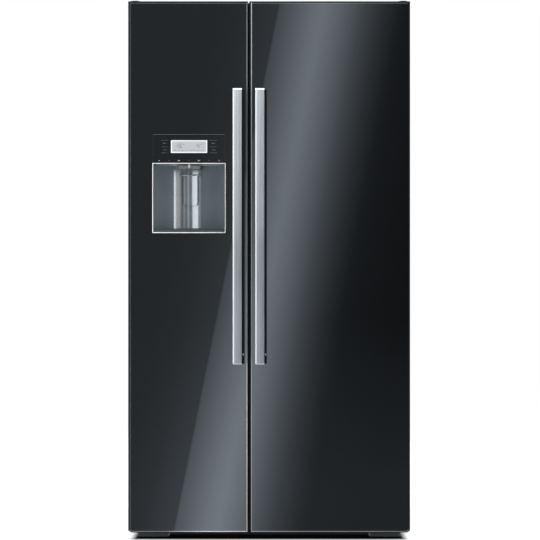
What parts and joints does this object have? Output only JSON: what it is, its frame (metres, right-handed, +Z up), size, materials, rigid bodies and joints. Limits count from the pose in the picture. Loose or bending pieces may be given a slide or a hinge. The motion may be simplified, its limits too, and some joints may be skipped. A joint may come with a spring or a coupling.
{
  "type": "side by side refrigerator",
  "caption": "Side by side refrigerator with black glass doors, long bar handles, an ice and water dispenser, shelves, drawers, door bins and a rear machine bay.",
  "frame": {"origin": "on the floor, under the middle of the overall box", "axes": "+Z up; the doors face -Y, the freezer door is at -X and the larder door at +X"},
  "size_m": [0.91, 0.761, 1.756],
  "materials": {
    "case_paint": "satin dark grey paint on steel sheet",
    "zinc_sheet": "zinc-coated steel sheet",
    "foam": "rigid insulating foam",
    "liner_white": "moulded white liner",
    "chassis": "black-grey coated steel",
    "plinth_slate": "dark slate moulding",
    "black_plastic": "black moulding",
    "compressor_black": "black enamel",
    "coil_black": "black-coated coil",
    "valve_white": "white nylon",
    "duct_grey": "pale grey moulding",
    "fin_metal": "bare aluminium fins",
    "shelf_glass": "tempered clear glass",
    "trim_silver": "satin silver trim",
    "lamp_white": "frosted lamp cover",
    "clear_plastic": "clear moulded plastic",
    "roller_grey": "hard nylon roller",
    "foot_grey": "moulded foot on a steel stem",
    "fan_grey": "moulded fan wheel",
    "wire_steel": "bright steel",
    "black_glass": "black-backed toughened glass",
    "door_edge": "dark blue-green painted door edge",
    "seal_grey": "soft magnetic seal",
    "handle_aluminium": "brushed anodised aluminium",
    "steel_brushed": "brushed stainless steel",
    "display_grey": "pale segment display",
    "key_grey": "dark printed key"
  },
  "bodies": {
    "case": {"case_wrap": "case_paint", "rear_panels": "zinc_sheet", "case_foam": "foam", "freezer_liner": "liner_white", "fridge_liner": "liner_white", "base_frame": "chassis", "plinth": "plinth_slate", "hinge_brackets": "zinc_sheet", "hinge_covers": "black_plastic", "compressor": "compressor_black", "condenser": "coil_black", "water_valve": "valve_white", "air_ducts": "duct_grey", "evaporator": "fin_metal", "ice_maker": "duct_grey", "shelf_panes": "shelf_glass", "shelf_trims": "trim_silver", "interior_lights": "lamp_white", "ice_bin": "clear_plastic"},
    "freezer_door": {"freezer_door_glass": "black_glass", "freezer_door_frame": "door_edge", "freezer_door_foam": "foam", "freezer_door_liner": "liner_white", "freezer_door_gasket": "seal_grey", "freezer_handle_bar": "handle_aluminium", "freezer_handle_bracket": "black_plastic", "freezer_door_bins": "clear_plastic", "dispenser_frame": "steel_brushed", "dispenser_hollow": "steel_brushed", "ice_chute": "black_plastic", "control_panel": "black_plastic", "display": "display_grey"},
    "fridge_door": {"fridge_door_glass": "black_glass", "fridge_door_frame": "door_edge", "fridge_door_foam": "foam", "fridge_door_liner": "liner_white", "fridge_door_gasket": "seal_grey", "fridge_handle_bar": "handle_aluminium", "fridge_handle_bracket": "black_plastic", "fridge_door_bins": "clear_plastic"},
    "rear_roller_left": {"rear_roller_left": "roller_grey"},
    "rear_roller_right": {"rear_roller_right": "roller_grey"},
    "front_foot_left": {"front_foot_left": "foot_grey"},
    "front_foot_right": {"front_foot_right": "foot_grey"},
    "condenser_fan": {"condenser_fan": "fan_grey"},
    "evaporator_fan": {"evaporator_fan": "fan_grey"},
    "ice_auger": {"ice_auger": "wire_steel"},
    "ice_ejector": {"ice_ejector": "wire_steel"},
    "fridge_drawer_lower": {"fridge_drawer_lower": "clear_plastic"},
    "fridge_drawer_upper": {"fridge_drawer_upper": "clear_plastic"},
    "freezer_drawer_lower": {"freezer_drawer_lower": "clear_plastic"},
    "freezer_drawer_upper": {"freezer_drawer_upper": "clear_plastic"},
    "dairy_lid": {"dairy_lid": "clear_plastic"},
    "dispenser_pad": {"dispenser_pad": "steel_brushed"},
    "drip_tray": {"drip_tray": "steel_brushed"},
    "ice_flap": {"ice_flap": "black_plastic"},
    "key_1": {"key_1": "key_grey"},
    "key_2": {"key_2": "key_grey"},
    "key_3": {"key_3": "key_grey"},
    "key_4": {"key_4": "key_grey"}
  },
  "joints": [
    {"name": "freezer_door_hinge", "type": "hinge", "parent": "case", "child": "freezer_door", "pos_m": [-0.435, -0.3005, 0.89], "axis": [0, 0, -1], "range_deg": [0, 140]},
    {"name": "fridge_door_hinge", "type": "hinge", "parent": "case", "child": "fridge_door", "pos_m": [0.435, -0.3005, 0.89], "axis": [0, 0, 1], "range_deg": [0, 140]},
    {"name": "fridge_drawer_lower_slide", "type": "slide", "parent": "case", "child": "fridge_drawer_lower", "axis": [0, -1, 0], "range_m": [0, 0.22]},
    {"name": "fridge_drawer_upper_slide", "type": "slide", "parent": "case", "child": "fridge_drawer_upper", "axis": [0, -1, 0], "range_m": [0, 0.22]},
    {"name": "freezer_drawer_lower_slide", "type": "slide", "parent": "case", "child": "freezer_drawer_lower", "axis": [0, -1, 0], "range_m": [0, 0.22]},
    {"name": "freezer_drawer_upper_slide", "type": "slide", "parent": "case", "child": "freezer_drawer_upper", "axis": [0, -1, 0], "range_m": [0, 0.22]},
    {"name": "dairy_lid_hinge", "type": "hinge", "parent": "fridge_door", "child": "dairy_lid", "pos_m": [0.184, -0.2535, 1.5305], "axis": [1, 0, 0], "range_deg": [0, 85]},
    {"name": "dispenser_pad_hinge", "type": "hinge", "parent": "freezer_door", "child": "dispenser_pad", "pos_m": [-0.2585, -0.256, 1.192], "axis": [1, 0, 0], "range_deg": [0, 4], "stiffness_Nm_per_rad": 2, "springref_deg": -2.86},
    {"name": "ice_flap_hinge", "type": "hinge", "parent": "freezer_door", "child": "ice_flap", "pos_m": [-0.2585, -0.2605, 1.218], "axis": [1, 0, 0], "range_deg": [0, 48]},
    {"name": "drip_tray_slide", "type": "slide", "parent": "freezer_door", "child": "drip_tray", "axis": [0, -1, 0], "range_m": [0, 0.08]},
    {"name": "key_1_press", "type": "slide", "parent": "freezer_door", "child": "key_1", "axis": [0, 1, 0], "range_m": [0, 0.0008], "stiffness_N_per_m": 900, "springref_m": -0.0005},
    {"name": "key_2_press", "type": "slide", "parent": "freezer_door", "child": "key_2", "axis": [0, 1, 0], "range_m": [0, 0.0008], "stiffness_N_per_m": 900, "springref_m": -0.0005},
    {"name": "key_3_press", "type": "slide", "parent": "freezer_door", "child": "key_3", "axis": [0, 1, 0], "range_m": [0, 0.0008], "stiffness_N_per_m": 900, "springref_m": -0.0005},
    {"name": "key_4_press", "type": "slide", "parent": "freezer_door", "child": "key_4", "axis": [0, 1, 0], "range_m": [0, 0.0008], "stiffness_N_per_m": 900, "springref_m": -0.0005},
    {"name": "rear_roller_left_spin", "type": "hinge", "parent": "case", "child": "rear_roller_left", "pos_m": [-0.36, 0.3225, 0.018], "axis": [1, 0, 0], "continuous": true},
    {"name": "rear_roller_right_spin", "type": "hinge", "parent": "case", "child": "rear_roller_right", "pos_m": [0.36, 0.3225, 0.018], "axis": [1, 0, 0], "continuous": true},
    {"name": "front_foot_left_screw", "type": "slide", "parent": "case", "child": "front_foot_left", "axis": [0, 0, -1], "range_m": [0, 0.015]},
    {"name": "front_foot_right_screw", "type": "slide", "parent": "case", "child": "front_foot_right", "axis": [0, 0, -1], "range_m": [0, 0.015]},
    {"name": "condenser_fan_spin", "type": "hinge", "parent": "case", "child": "condenser_fan", "pos_m": [-0.066, 0.26, 0.1425], "axis": [1, 0, 0], "continuous": true},
    {"name": "evaporator_fan_spin", "type": "hinge", "parent": "case", "child": "evaporator_fan", "pos_m": [-0.246, 0.2475, 0.618], "axis": [0, 1, 0], "continuous": true},
    {"name": "ice_auger_spin", "type": "hinge", "parent": "case", "child": "ice_auger", "pos_m": [-0.2585, 0.04, 1.364], "axis": [0, 1, 0], "continuous": true},
    {"name": "ice_ejector_spin", "type": "hinge", "parent": "case", "child": "ice_ejector", "pos_m": [-0.2585, 0.06, 1.59], "axis": [0, 1, 0], "continuous": true}
  ],
  "couplings": [
    {"joint": "fridge_drawer_lower_slide", "follows": "fridge_door_hinge", "m_per_rad": 0.09},
    {"joint": "fridge_drawer_upper_slide", "follows": "fridge_door_hinge", "m_per_rad": 0.09},
    {"joint": "freezer_drawer_lower_slide", "follows": "freezer_door_hinge", "m_per_rad": 0.09},
    {"joint": "freezer_drawer_upper_slide", "follows": "freezer_door_hinge", "m_per_rad": 0.09},
    {"joint": "ice_flap_hinge", "follows": "dispenser_pad_hinge", "ratio": 12}
  ]
}
